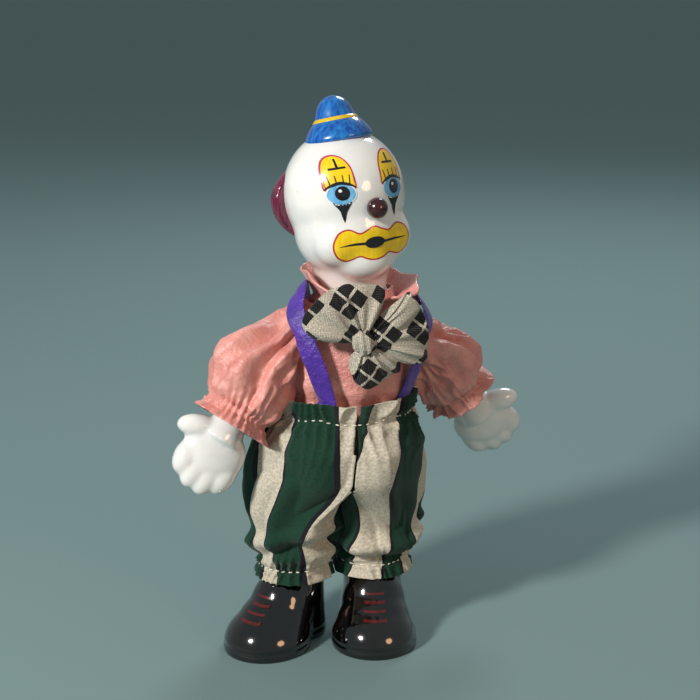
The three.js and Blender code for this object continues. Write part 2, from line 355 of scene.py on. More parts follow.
# Light dress cotton in wide woven stripes: bottle green and cream, each with a thin dark edge
def stripeMaterial(pattern):
    material, tree, shader = newMaterial("stripedCotton", "0d3b2a", 0.82, Sheen_Weight=0.15,
                                         Specular_IOR_Level=0.25)
    cloth, threads = weave(tree, pattern["thread"])
    across = addNode(tree, "SeparateXYZ", {"Vector": cloth}).outputs["X"]
    drift = mathNode(tree, "MULTIPLY_ADD", clothNoise(tree, cloth, 0.12, 2.0), 0.9, across)
    part = mathNode(tree, "FRACT", mathNode(tree, "MULTIPLY", drift, 1 / pattern["repeat"]))
    green, edge = pattern["green"], pattern["edge"]
    navy, bottle, cream = "10101c", "0a3c2a", "d9d0bd"
    stripes = ramp(tree, part, ((0.0, navy), (edge, bottle), (green - edge, navy), (green, cream),
                                (1 - edge, navy)), "CONSTANT")
    shade = clothNoise(tree, cloth, 1.4, 4.0)
    fleck = ramp(tree, shade, ((0.3, "c4c4c4"), (0.7, "ffffff")))
    colourFrom(tree, shader, mixColours(tree, 1.0, stripes, fleck, "MULTIPLY"))
    bumpFrom(tree, shader, mathNode(tree, "MULTIPLY_ADD", threads, 0.5, shade), 0.5, 0.0003)
    return material


# Coarse plain-weave cotton printed in black blocks, each cut in four by unprinted cream lines
def checkMaterial(pattern):
    cream = hexColour("d6cebd")
    material, tree, shader = newMaterial("checkedCotton", "d0c8b6", 0.88, Sheen_Weight=0.2,
                                         Specular_IOR_Level=0.2)
    cloth, threads = weave(tree, pattern["thread"])
    turn = addNode(tree, "Mapping",
                   {"Rotation": (0, 0, radians(pattern["turn"])), "Vector": cloth}).outputs["Vector"]
    check = addNode(tree, "TexChecker",
                    {"Scale": 1 / pattern["block"], "Color1": hexColour("0b0b0e"), "Color2": cream,
                     "Vector": turn}).outputs["Color"]
    turned = addNode(tree, "SeparateXYZ", {"Vector": turn})
    gaps = []
    for axis in ("X", "Y"):
        part = mathNode(tree, "FRACT", mathNode(tree, "MULTIPLY", turned.outputs[axis], 2 / pattern["block"]))
        gaps.append(mathNode(tree, "LESS_THAN", part, pattern["line"]))
    check = mixColours(tree, mathNode(tree, "MAXIMUM", *gaps), check, cream)
    fleck = ramp(tree, clothNoise(tree, cloth, 2.2, 3.0), ((0.3, "b8b8b8"), (0.65, "ffffff")))
    colourFrom(tree, shader, mixColours(tree, 1.0, check, fleck, "MULTIPLY"))
    bumpFrom(tree, shader, threads, 0.9, 0.0003)
    return material


porcelain = porcelainMaterial("glazedPorcelain", 0.74)
bootGlaze = bootMaterial()
hatBlue = enamelMaterial("blueEnamel", "0a429c", "1f7cc8")
bandYellow = enamelMaterial("yellowEnamel", "e2c322", "d8ab18")
hairMaroon = enamelMaterial("maroonEnamel", "4a1029", "7d2347", (1400.0, 1400.0, 120.0))
noseMaroon = enamelMaterial("darkMaroonEnamel", "2c0b10", "3d1016")
pinkSatin = satinMaterial("salmonSatin", "d5847b", "e5a399", 0.3, 0.25)
ribbonSatin = satinMaterial("purpleRibbonSatin", "3a1a86", "5a31ad", 0.35, 0.4)
trouserCotton = stripeMaterial({"thread": 0.3, "repeat": 25.0, "green": 0.57, "edge": 0.03})
bowCotton = checkMaterial({"thread": 0.42, "block": 8.4, "line": 0.16, "turn": 32})
threadWhite = newMaterial("polyesterThread", "dcd6c8", 0.7, Sheen_Weight=0.3)[0]
print("materials made")


head = {
    "skull": ((0, 0.4, 31), (16.9, 17.0, 17.6)),
    "jaw": ((0, -1.6, 21.0), (15.6, 15.2, 13.4)),
    "cheek": ((6.6, -8.2, 19.0), (7.8, 7.0, 7.0)),
    "chin": ((0, -8.4, 13.8), (8.8, 7.6, 6.4)),
    "voxel": 0.7,
    "softening": 26,
    "shrinkage": 0.25,
}


def makeHead():
    bm = bmesh.new()
    for name in ("skull", "jaw", "chin"):
        addLump(bm, *head[name])
    for sign in (-1, 1):
        (x, y, z), radii = head["cheek"]
        addLump(bm, (sign * x, y, z), radii)
    addTurned(bm, [(0, 18), (11.6, 18), (11, 11), (9.6, 7), (8.8, 4), (8.6, -4), (0, -4)])
    cast = castForm(bm, head["voxel"], head["softening"])
    # smoothing draws the form in a little
    cast.normal_update()
    for vert in cast.verts:
        vert.co += vert.normal * head["shrinkage"]
    piece = makePiece("porcelain_head", cast, headFrame, porcelain, "head", ("head",))
    return subdivided(piece, 1)


headPiece = makeHead()
print("head cast")

# The painted face is enamel on the glaze, except the white dot on each pupil, which is a painted highlight:
# flat outlines laid onto the head, each a few hundredths of a millimetre above the last. Places are (across,
# up) in the head's millimetres.
facePaint = {
    "lift": 0.05,
    "grid": 0.9,
    "eye": {
        "spread": 7.6, "shift": -0.2, "height": 32.2,
        "arch": [(-3.0, 1.4), (-3.4, 3.6), (-3.2, 6.8), (-1.8, 9.3), (0.3, 10.0), (2.3, 9.0), (3.4, 6.4),
                 (3.5, 3.4), (3.1, 1.4)],
        "white": (3.7, 2.9),
        "blue": (3.4, 2.6),
        "pupil": (1.8, 1.9),
        "bar": [(-2.3, 6.7), (-2.2, 7.2), (1.9, 7.0), (1.9, 6.4)],
        "stem": [(-0.5, 6.8), (-0.4, 9.3), (0.1, 9.3), (0.1, 6.7)],
        "lid": [(-4.0, 1.4), (-2.4, 2.7), (0.0, 3.4), (2.4, 2.7), (4.0, 1.4), (2.4, 2.0), (0.0, 2.6),
                (-2.4, 2.0)],
        "tear": [(-2.3, -2.0), (0, -2.7), (2.3, -2.0), (0.6, -4.6), (-0.2, -7.6), (-0.9, -4.8)],
        "lashes": (-2.3, -0.8, 0.8, 2.3),
    },
    "mouth": {
        "lips": [(-11.2, 18.6), (-9.8, 21.4), (-7.2, 22.4), (-4.6, 21.1), (-2.6, 21.6), (-0.3, 22.6),
                 (2.2, 21.6), (4.4, 21.1), (7.2, 22.4), (10.0, 21.4), (11.2, 18.8), (10.3, 15.8), (7.8, 14.4),
                 (4.4, 15.3), (2.0, 14.4), (-0.3, 14.0), (-2.4, 14.4), (-4.6, 15.3), (-7.8, 14.4),
                 (-10.3, 15.8)],
        "line": [(-10.2, 18.3), (-6.0, 18.9), (-3.0, 18.8), (0, 19.0), (3.0, 18.8), (6.0, 18.9),
                 (10.2, 18.6), (6.0, 18.3), (3.0, 18.1), (0, 18.0), (-3.0, 18.1), (-6.0, 18.3)],
        "opening": (2.9, 1.55),
        "openingAt": (-0.3, 18.5),
    },
    "outline": 0.42,
}


# The stretch from b to c of a curve through a, b, c and d
def curveStretch(a, b, c, d, steps):
    for step in range(steps):
        t = step / steps
        yield 0.5 * ((2 * b) + (c - a) * t + (2 * a - 5 * b + 4 * c - d) * t * t
                     + (3 * b - a - 3 * c + d) * t ** 3)


def roundOutline(points, steps=5):
    count = len(points)
    return [place for i in range(count)
            for place in curveStretch(*(Vector(points[(i + k) % count]) for k in (-1, 0, 1, 2)), steps)]


def splinePoints(points, steps):
    ends = [points[0]] + list(points) + [points[-1]]
    curve = [place for i in range(1, len(ends) - 2)
             for place in curveStretch(*(Vector(ends[i + k]) for k in (-1, 0, 1, 2)), steps)]
    return curve + [Vector(points[-1])]


def grown(outline, width):
    area = sum(a.x * b.y - b.x * a.y for a, b in zip(outline, outline[1:] + outline[:1]))
    turn = 1 if area > 0 else -1
    result = []
    for i, point in enumerate(outline):
        along = (outline[(i + 1) % len(outline)] - outline[i - 1]).normalized()
        result.append(point + Vector((along.y, -along.x)) * width * turn)
    return result


def ovalOutline(centre, radii, steps=28):
    return [Vector((centre[0] + radii[0] * cos(2 * pi * i / steps),
                    centre[1] + radii[1] * sin(2 * pi * i / steps))) for i in range(steps)]


def surfaceTree(piece, place):
    graph = bpy.context.evaluated_depsgraph_get()
    bm = bmesh.new()
    bm.from_object(piece, graph)
    bmesh.ops.transform(bm, matrix=place.inverted(), verts=bm.verts)
    tree = BVHTree.FromBMesh(bm)
    bm.free()
    return tree


# Lays a flat outline on a surface seen from its front, cut finely enough to follow the curve
def layPaint(name, outline, layer, surface, place, material, body, tilt=(0, 0)):
    bm = bmesh.new()
    bm.faces.new([bm.verts.new((point.x, 0, point.y)) for point in outline])
    bmesh.ops.triangulate(bm, faces=bm.faces, ngon_method="EAR_CLIP")
    low = [min(v.co[i] for v in bm.verts) for i in (0, 2)]
    high = [max(v.co[i] for v in bm.verts) for i in (0, 2)]
    for axis, normal in ((0, (1, 0, 0)), (1, (0, 0, 1))):
        cuts = int((high[axis] - low[axis]) / facePaint["grid"])
        for i in range(cuts):
            at = low[axis] + (i + 1) * facePaint["grid"]
            cutAcross(bm, Vector(normal) * at, normal)
    aim = Vector((tilt[0], 1, tilt[1])).normalized()
    for vert in bm.verts:
        start = vert.co - aim * 60
        hit, normal, _, _ = surface.ray_cast(start, aim)
        if hit is None:
            hit, normal, _, _ = surface.find_nearest(vert.co)
        vert.co = hit + normal * facePaint["lift"] * layer
    bmesh.ops.recalc_face_normals(bm, faces=bm.faces)
    bm.normal_update()
    outward = sum((face.normal for face in bm.faces), Vector())
    if outward.y > 0:
        bmesh.ops.reverse_faces(bm, faces=bm.faces)
    return makePiece(name, bm, place, material, body)


enamels = {
    "red": enamelMaterial("redLineEnamel", "b01f2a", "c23a3c"),
    "yellow": enamelMaterial("faceYellowEnamel", "efc308", "f6d81e"),
    # white is the enamel of the eye whites and also the painted highlight on each pupil
    "white": enamelMaterial("whiteEnamelAndPaintedGlint", "eceef0", "eceef0"),
    "blue": enamelMaterial("paleBlueEnamel", "4f9fd6", "86c4ea"),
    "black": enamelMaterial("blackEnamel", "0b0b10", "15151d"),
    "magenta": enamelMaterial("magentaLineEnamel", "b4235f", "cf4a54"),
    "maroon": enamelMaterial("laceEnamel", "4a0d13", "611419"),
}


def paintFace():
    surface = surfaceTree(headPiece, headFrame)
    eye, mouth, edge = facePaint["eye"], facePaint["mouth"], facePaint["outline"]

    def lay(name, outline, layer, paint):
        layPaint(name, outline, layer, surface, headFrame, enamels[paint], "head")

    for side in sides:
        sign = signs[side]
        cx, cz = sign * eye["spread"] + eye["shift"], eye["height"]

        def spot(points):
            return [Vector((cx + sign * x, cz + z)) for x, z in points]

        arch = roundOutline(spot(eye["arch"]))
        lay(f"{side}_lid_outline", grown(arch, edge), 1, "magenta")
        lay(f"{side}_lid_paint", arch, 2, "yellow")
        lay(f"{side}_eye_white", ovalOutline((cx, cz), eye["white"]), 3, "white")
        lay(f"{side}_eye_blue", ovalOutline((cx, cz), eye["blue"]), 4, "blue")
        lay(f"{side}_pupil", ovalOutline((cx + 0.2, cz + 0.3), eye["pupil"]), 5, "black")
        # the white dot on each pupil is a painted highlight, set towards the key lamp on both eyes rather
        # than mirrored
        lay(f"{side}_eye_painted_glint", ovalOutline((cx - 0.3, cz + 1.0), (0.42, 0.42), 12), 6, "white")
        lay(f"{side}_lid_line", roundOutline(spot(eye["lid"]), 3), 6, "black")
        lay(f"{side}_brow_bar", spot(eye["bar"]), 3, "black")
        lay(f"{side}_brow_stem", spot(eye["stem"]), 3, "black")
        lay(f"{side}_tear_mark", roundOutline(spot(eye["tear"]), 3), 3, "black")
        for i, x in enumerate(eye["lashes"]):
            lash = [(x - 0.16, 2.6), (x * 1.15 - 0.1, 5.0), (x * 1.15 + 0.14, 5.0), (x + 0.16, 2.7)]
            lay(f"{side}_lash_{i + 1}", spot(lash), 3, "black")
    lips = roundOutline(mouth["lips"], 4)
    lay("lip_outline", grown(lips, edge), 1, "red")
    lay("lip_paint", lips, 2, "yellow")
    lay("mouth_line", roundOutline(mouth["line"], 3), 3, "black")
    lay("mouth_opening", ovalOutline(mouth["openingAt"], mouth["opening"]), 4, "black")


# The hat is two turned tiers with a painted band between them, and the nose a glazed ball
hat = {
    "outline": [(0, 57.9), (1.6, 57.6), (3.1, 56.8), (4.3, 55.5), (5.1, 53.6), (5.6, 51.9), (6.0, 51.2),
                (6.6, 50.6), (7.4, 49.8), (8.3, 48.6), (9.1, 47.3), (9.6, 46.0), (9.3, 45.2), (7.6, 44.6),
                (4, 44.2), (0, 44.2)],
    "band": [(5.62, 51.9), (5.8, 51.75), (6.15, 51.35), (6.45, 50.95), (6.42, 50.7), (5.6, 50.9),
             (5.3, 51.6), (5.62, 51.9)],
    "lean": (-7, -2),
}
hair = {"centre": (0, 3.8, 29.6), "radii": (19.5, 16.0, 13.2), "front": 3.4}
nose = {"centre": (0.7, -17.8, 27.6), "radius": 2.9}


def makeHeadDress():
    pivot = Matrix.Translation((0, 0, 46))
    lean = (headFrame @ pivot @ rotation(hat["lean"][0], "X")
            @ rotation(hat["lean"][1], "Y") @ pivot.inverted())
    bm = bmesh.new()
    addTurned(bm, hat["outline"])
    subdivided(makePiece("hat", bm, lean, hatBlue, "head"))
    bm = bmesh.new()
    addTurned(bm, hat["band"])
    subdivided(makePiece("hat_band", bm, lean, bandYellow, "head"))
    bm = bmesh.new()
    addLump(bm, hair["centre"], hair["radii"], across=48, up=32)
    sliced(bm, (0, hair["front"], 0), (0, 1, 0))
    locks = castForm(bm, 0.7, 6)
    for vert in locks.verts:
        angle = atan2(vert.co.x, vert.co.y)
        vert.co += vert.normal * 0.16 * sin(angle * 34)
    subdivided(makePiece("hair", locks, headFrame, hairMaroon, "head"), 1)
    bm = bmesh.new()
    addLump(bm, nose["centre"], [nose["radius"]] * 3, across=24, up=16)
    subdivided(makePiece("nose", bm, headFrame, noseMaroon, "head"), 1)


makeHeadDress()
paintFace()
print("face painted")


hand = {
    "palm": ((-0.2, 0, -8.8), (9.2, 4.7, 8.4)),
    "fingers": ((-5.8, -13.2, 3.9, 5.9), (-2.1, -14.6, 3.9, 6.6), (1.8, -14.8, 3.9, 6.6),
                (5.4, -13.2, 3.8, 5.9)),
    "thumb": ((7.2, -0.8, -4.8), (6.2, 3.3, 3.3)),
    "wrist": [(0, 4.5), (4.4, 4.5), (5.0, 0.5), (6.2, -5), (0, -8)],
}


def makeHand(side):
    sign = signs[side]
    bm = bmesh.new()
    (x, y, z), radii = hand["palm"]
    addLump(bm, (-sign * 0.4, y, z), radii)
    for x, z, wide, tall in hand["fingers"]:
        addLump(bm, (-sign * (x + 0.6), 0.3, z), (wide, 3.7, tall))
    (x, y, z), radii = hand["thumb"]
    addLump(bm, (sign * x, y, z), radii, rotation(sign * 24, "Y"))
    addTurned(bm, hand["wrist"], 32)
    cast = castForm(bm, 0.5, 12)
    piece = makePiece(f"{side}_porcelain_hand", cast, handFrames[side], porcelain, f"{side}_hand",
                      (f"{side}_hand",))
    return subdivided(piece, 1)


boot = {
    "shaft": [(0, 30), (5.4, 30), (5.6, 25), (7.9, 23.2), (8.5, 20), (8.6, 13), (8.9, 6), (9.0, 0), (0, 0)],
    "lumps": (((0, -12.6, 1.4), (12.5, 13.2, 10.6)), ((0, -9.4, 5.0), (10.9, 11.4, 10.2)),
              ((0, -5.8, 9.2), (9.6, 9.4, 11.4)), ((0, -2.6, 12.0), (8.9, 7.4, 11.0)),
              ((0, 0.4, 2.0), (9.0, 9.2, 10.2))),
    "softening": 24,
    "sole": 0.05,
    "welt": 2.4, "weltDepth": 0.35, "weltWidth": 0.45,
    "laces": (9.4, 11.2, 13.0, 14.8), "laceHalf": 3.3, "laceTaper": 0.2, "laceWidth": 0.55,
}


def makeBoot(side):
    bm = bmesh.new()
    addTurned(bm, boot["shaft"], 36)
    for centre, radii in boot["lumps"]:
        addLump(bm, centre, radii)
    cast = castForm(bm, 0.6, boot["softening"])
    sliced(cast, (0, 0, boot["sole"]), (0, 0, 1))
    cast.normal_update()
    for vert in cast.verts:
        groove = exp(-((vert.co.z - boot["welt"]) / boot["weltWidth"]) ** 2)
        flat = Vector((vert.normal.x, vert.normal.y, 0))
        vert.co -= flat * boot["weltDepth"] * groove
    piece = makePiece(f"{side}_glazed_boot", cast, bootFrames[side], bootGlaze, f"{side}_boot",
                      (f"{side}_boot",))
    surface = surfaceTree(piece, bootFrames[side])
    for i, height in enumerate(boot["laces"]):
        half, top = boot["laceHalf"] - boot["laceTaper"] * i, height + boot["laceWidth"]
        bar = [Vector((-half, height)), Vector((half, height)), Vector((half, top)), Vector((-half, top))]
        layPaint(f"{side}_lace_{i + 1}", bar, 1, surface, bootFrames[side], enamels["maroon"],
                 f"{side}_boot")
    return piece


for side in sides:
    makeHand(side)
    makeBoot(side)
print("hands and boots cast")


# A cloth tube or sheet: a grid whose UV is real millimetres, shaped by a function of (u, v)
def clothGrid(columns, rows, shape, width, length, closed=True):
    bm = bmesh.new()
    layer = bm.loops.layers.uv.new("cloth")
    bmesh.ops.create_grid(bm, x_segments=columns, y_segments=rows, size=0.5)
    for face in bm.faces:
        for loop in face.loops:
            u, v = loop.vert.co.x + 0.5, loop.vert.co.y + 0.5
            loop[layer].uv = (u * width, v * length)
    for vert in bm.verts:
        vert.co = shape(vert.co.x + 0.5, vert.co.y + 0.5)
    if closed:
        bmesh.ops.remove_doubles(bm, verts=bm.verts, dist=0.01)
    return bm


def foldNoise(x, y, z, seed):
    return noise.noise(Vector((x, y, z)) + Vector((seed, 3 * seed, 7 * seed)))


# The same round a tube, where size is the noise's radius
def roundNoise(angle, size, along, seed):
    return foldNoise(cos(angle) * size, sin(angle) * size, along, seed)


# Pleats pressed by a gathering thread: sharp on the ridge, soft in the valley
def pleat(angle, along, count, seed):
    wander = roundNoise(angle, 1.6, along * 0.05, seed)
    wave = cos(angle * count + wander * 7)
    return 1 - abs(wave) ** 0.8 * 2


trousers = {
    "top": 26.6, "stitch": 21.4, "crotch": -2.0, "hemStitch": -23.6, "hem": -27.4,
    "waistRadius": [(26.6, 20.6), (23.5, 20.4), (21.4, 19.5), (18.5, 21.6), (12, 24.4), (2, 26.6), (-6, 27.0),
                    (-12, 26.0)],
    "legRadius": [(4, 14.2), (-6, 14.4), (-13, 13.2), (-19, 13.4), (-22, 11.8), (-23.6, 10.4), (-25, 11.0),
                  (-27.4, 11.6)],
    "cloth": 0.28, "cutWidth": 100, "cutLength": 60, "columns": 220, "rows": 150,
    "outer": 0.64, "lap": 0.4, "seam": 0.6,
    "stripe": {"right": (-7.2, 8.0), "left": (8.8, 15.0)},
    "pleats": 13, "pleatDepth": 1.15, "frillDepth": 0.9, "hemPleats": 11, "hemPleatDepth": 0.95,
    "softFold": 3.4, "knee": 14.0,
    "stitches": 26, "stitchFrom": 0.28, "stitchTo": 0.72, "thread": 0.22, "threadLift": 0.3,
}


def profile(z, stations):
    for (z0, a0), (z1, a1) in zip(stations, stations[1:]):
        if z <= z0 and z >= z1:
            t = (z0 - z) / (z0 - z1)
            t = t * t * (3 - 2 * t)
            return a0 + (a1 - a0) * t
    return stations[-1][1] if z < stations[-1][0] else stations[0][1]


def legCentre(side):
    return (hipPlaces[side] - trunkFrame.translation).x / mm


def trouserShape(side):
    sign = signs[side]
    hips = trunkFrame.translation / mm
    legX = legCentre(side)
    # u runs from the front centre seam round the outside to the back seam, then up the inner leg
    outer = trousers["outer"]

    def shape(u, v):
        z = mix(trousers["top"], trousers["hem"], v)
        angle = 2 * pi * u
        wide = profile(z, trousers["waistRadius"])
        deep = wide * mix(0.64, 0.88, smooth(-12, 14, z))
        if u < outer:
            turn = pi * u / outer
            seat = Vector((sign * (wide * sin(turn) - trousers["lap"]), -deep * cos(turn)))
        else:
            t = (u - outer) / (1 - outer)
            turn = pi * (1 + t)
            seat = Vector((sign * 0.15, deep * (1 - 2 * t)))
        r = profile(z, trousers["legRadius"])
        leg = Vector((legX + sign * r * sin(turn), -r * cos(turn)))
        part = smooth(trousers["crotch"] + 7, trousers["crotch"] - 11, z)
        flat = seat.lerp(leg, part)
        out = flat - Vector((legX * part, 0))
        out /= out.length or 1
        # gathers near the two threads, long soft folds between, and the cloth sags over the shin
        toWaist, toHem = abs(z - trousers["stitch"]), abs(z - trousers["hemStitch"])
        nearTop, nearHem = exp(-toWaist / 5.5), exp(-toHem / 3.6)
        tight = 0.35 if min(toWaist, toHem) < 1 else 1
        depth = trousers["pleatDepth"] + trousers["frillDepth"] * smooth(22, 26, z)
        fold = depth * nearTop * pleat(angle, z, trousers["pleats"], 2 + sign) * tight
        fold += trousers["hemPleatDepth"] * nearHem * pleat(angle, z, trousers["hemPleats"], 5 + sign) * tight
        soft = roundNoise(angle, 1.5, z * 0.035, 11 + sign)
        fold += trousers["softFold"] * (abs(soft) * 2 - 0.5) * smooth(21, 8, z) * smooth(-23.6, -16, z)
        slump = z + trousers["knee"] + 3.5 * sin(angle + sign) + 2 * roundNoise(angle, 1, 0, 9)
        fold += 1.9 * exp(-(slump / 2.2) ** 2) - 2.2 * exp(-((slump + 4.2) / 1.7) ** 2) * part
        free = smooth(-0.4, 1.4, abs(flat.x)) if part < 0.6 else 1
        flat += out * fold * free
        height = z + 1.3 * nearTop * roundNoise(angle, 2.2, 0, 4)
        # the waist leans with the trunk
        x = flat.x + sin(trunkLean) * height * smooth(-6, 20, z)
        return Vector((hips.x + x, hips.y + flat.y, hips.z + height))

    return shape


# A gathering thread shows as short white stitches, along a share of the cloth's width
def makeStitches(side, line, body, reach, shape, centre):
    v = (trousers["top"] - trousers[line]) / (trousers["top"] - trousers["hem"])
    count, thread = trousers["stitches"], trousers["thread"]
    bm = bmesh.new()
    for i in range(count):
        a, b = (shape(reach * (i + trousers[end]) / count, v) for end in ("stitchFrom", "stitchTo"))
        out = (a + b) / 2 - centre
        out.z = 0
        middle = (a + b) / 2 + out.normalized() * trousers["threadLift"]
        turn = (b - a).to_track_quat("Z", "Y").to_matrix().to_4x4()
        addLump(bm, middle, (thread, thread, max(0.6, (b - a).length * 0.55)), turn, 8, 6)
    return makePiece(f"{side}_{line}", bm, Matrix.Scale(mm, 4), threadWhite, body)


def makeTrousers(side):
    shape = trouserShape(side)
    bm = clothGrid(trousers["columns"], trousers["rows"], shape, trousers["cutWidth"], trousers["cutLength"])
    # the stripes were cut on a slant, differently in each leg
    start, slant = trousers["stripe"][side]
    layer = bm.loops.layers.uv["cloth"]
    for face in bm.faces:
        for loop in face.loops:
            u, v = loop[layer].uv
            loop[layer].uv = (u + start + slant * v / trousers["cutLength"], v)
    # above the crotch the inner wall isn't there: the two halves are sewn together along the middle
    hips = trunkFrame.translation / mm

    def isInner(face):
        middle = face.calc_center_median() - hips
        seamX = sin(trunkLean) * max(0, middle.z)
        return abs(middle.x - seamX) < trousers["seam"] and middle.z > 1

    bmesh.ops.delete(bm, geom=[face for face in bm.faces if isInner(face)], context="FACES")
    span = ("torso", f"{side}_leg", hipPlaces[side] + Vector((0, 0, 0.001)),
            hipPlaces[side] - Vector((0, 0, 0.011)))
    piece = makePiece(f"{side}_trousers", bm, Matrix.Scale(mm, 4), trouserCotton, span,
                      flip=side == "left")
    thickened(piece, trousers["cloth"])
    threads = [makeStitches(side, "stitch", "torso", trousers["outer"], shape, hips),
               makeStitches(side, "hemStitch", f"{side}_leg", 1.0, shape,
                            hips + Vector((legCentre(side), 0, 0)))]


for side in sides:
    makeTrousers(side)
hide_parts("right_trouser_leg", "trouser_seat", "waist_elastic",
            "right_hem_elastic")
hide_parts("left_trouser_leg", "left_hem_elastic")
print("trousers sewn")


# Long folds: rounded ridges with a narrower valley between them, count round the tube
def drape(angle, along, count, seed, wander=0.9):
    bend = roundNoise(angle, 0.9, along * 0.045, seed)
    wave = sin(angle * count + bend * wander * 6)
    return copysign(abs(wave) ** 0.75, wave)


shirt = {
    "radius": [(58, 9.6), (55, 10.8), (52, 13.0), (46, 16.7), (37, 18.2), (30, 17.6), (25, 15.8),
               (17, 15.0)],
    "depth": 0.86, "top": 57.5, "bottom": 17.0, "folds": 1.1, "crumple": 1.7,
}
collar = {"radius": 13.6, "low": 52.5, "high": 60.8, "open": 34, "flare": 2.4}


def makeShirt():
    def shape(u, v):
        angle = 2 * pi * u
        z = mix(shirt["top"], shirt["bottom"], v)
        r = profile(z, shirt["radius"])
        gather = smooth(40, 22, z)
        r += shirt["folds"] * gather * drape(angle, z, 11, 3)
        r += shirt["crumple"] * (1 - 0.5 * gather) * roundNoise(angle, 1.7, z * 0.07, 6)
        across, deep = sin(angle) * r, -cos(angle) * r * shirt["depth"]
        return Vector((across, deep, z))

    bm = clothGrid(160, 110, shape, 112, 42)
    piece = makePiece("satin_shirt", bm, trunkFrame, pinkSatin, "torso", ("shirt_body",),
                      flip=True)
    thickened(piece, 0.25)
    return piece


# The collar is a standing band, open at the front, that folds outwards towards its corners
def makeCollar():
    def shape(u, v):
        gap = radians(collar["open"])
        angle = gap / 2 + (2 * pi - gap) * u
        front = exp(-((min(u, 1 - u)) / 0.13) ** 2)
        z = mix(collar["low"], collar["high"], v) + 0.7 * sin(angle * 5 + 1) * v - 3.4 * front * v
        r = collar["radius"] + collar["flare"] * v * v + 5.0 * front * v * v + 0.5 * drape(angle, z, 9, 8)
        r -= 2.6 * (1 - v)
        return Vector((sin(angle) * r, -cos(angle) * r * 0.92, z))

    bm = clothGrid(140, 24, shape, 86, 10, closed=False)
    piece = makePiece("satin_collar", bm, trunkFrame, pinkSatin, "torso", ("shirt_collar",))
    thickened(piece, 0.6, 0)
    return piece


sleeve = {
    "radius": [(5.0, 4.8), (0, 6.4), (-6, 7.6), (-14, 9.0), (-23, 10.6), (-28, 10.6), (-31, 9.0),
               (-32.6, 9.8), (-35, 11.4)],
    "top": 5.0, "bottom": -35.0, "elastic": -31.0, "elbow": 18.0,
    "length": {"right": 1.0, "left": 0.86},
    "girth": {"right": 1.0, "left": 0.93},
    "lobe": {"right": 4.2, "left": 2.0},
}


# A sleeve follows the upper arm and the forearm, turning from one to the other over the elbow
def makeSleeve(side):
    sign = signs[side]
    upper, fore = armFrames[side], foreFrames[side]

    def shape(u, v):
        s = mix(sleeve["top"], sleeve["bottom"], v)
        angle = 2 * pi * u
        r = profile(s, sleeve["radius"])
        cuff = exp(-abs(s - sleeve["elastic"]) / 3.4)
        cap = smooth(-10, 4, s)
        tight = 0.3 if abs(s - sleeve["elastic"]) < 0.8 else 1
        r += 1.15 * cuff * tight * pleat(angle, s, 12, 21 + sign)
        r += (1 - cuff) * (1.5 - 0.7 * cap) * drape(angle, s, 6, 25 + 4 * sign, 1.3)
        r += 1.8 * (1 - cuff) * roundNoise(angle, 1.4, s * 0.09, 31 + sign)
        crease = roundNoise(angle, 2.6, s * 0.13, 41 + sign)
        r += 1.5 * (1 - cuff) * (0.35 - abs(crease) * 1.6)
        # the satin hangs below the arm in a second, slack lobe
        hang = max(0, cos(angle - sign * 1.2)) ** 3 * exp(-((s + 19) / 7.5) ** 2)
        r += sleeve["lobe"][side] * hang
        r = max(r * sleeve["girth"][side], 4.4)
        x, y = r * sin(angle), -r * cos(angle)
        s *= sleeve["length"][side]
        bend = 1 - smooth(-23, -13, s)
        onUpper = upper @ Vector((x, y, s))
        onFore = fore @ Vector((x, y, s + sleeve["elbow"]))
        return onUpper.lerp(onFore, bend) / mm

    bm = clothGrid(150, 130, shape, 64, 43)
    elbowAt = foreFrames[side].translation
    armUp = (upper.translation - elbowAt).normalized()
    span = (f"{side}_upper_arm", f"{side}_forearm", elbowAt + armUp * 0.005, elbowAt - armUp * 0.005)
    piece = makePiece(f"{side}_sleeve", bm, Matrix.Scale(mm, 4), pinkSatin, span,
                      (f"{side}_sleeve_upper", f"{side}_sleeve_lower", f"{side}_cuff_elastic"), flip=True)
    thickened(piece, 0.25)
    return piece


shirtPiece = makeShirt()
makeCollar()
for side in sides:
    makeSleeve(side)
print("shirt sewn")

# Joins neighbouring rows of (vertex, UV) into faces
def joinRows(bm, layer, rows, turned=False):
    for a, b in zip(rows, rows[1:]):
        for k in range(len(a) - 1):
            corners = [a[k], a[k + 1], b[k + 1], b[k]]
            if turned:
                corners.reverse()
            face = bm.faces.new([corner[0] for corner in corners])
            for loop, corner in zip(face.loops, corners):
                loop[layer].uv = corner[1]


# Braces are straps of 6 mm ribbon, from the waist over each shoulder to the back
brace = {
    "width": 6.0, "thick": 0.4, "off": 0.6,
    "right": [(-8.8, -12.4, 19.5), (-9.4, -13.4, 24), (-10.2, -15.0, 29), (-13.2, -15.8, 37),
              (-16.0, -15.0, 42.4), (-18.0, -12.8, 48), (-18.8, -8.6, 53), (-17.6, -2, 54.8),
              (-14.6, 5, 52.8), (-12.2, 10, 47.4), (-11, 13.6, 38), (-9.8, 13.6, 29), (-9, 12.0, 20)],
    "left": [(13.0, -9.4, 19.5), (13.8, -10.2, 25), (15.8, -11.8, 34), (17.2, -12.4, 42.4),
             (18.0, -11.6, 48.7), (18.6, -7.8, 53.2), (17.4, -1.4, 54.8), (14.6, 5, 52.8), (12.2, 10, 47.4),
             (11, 13.6, 38), (9.8, 13.6, 29), (9, 12.0, 20)],
}


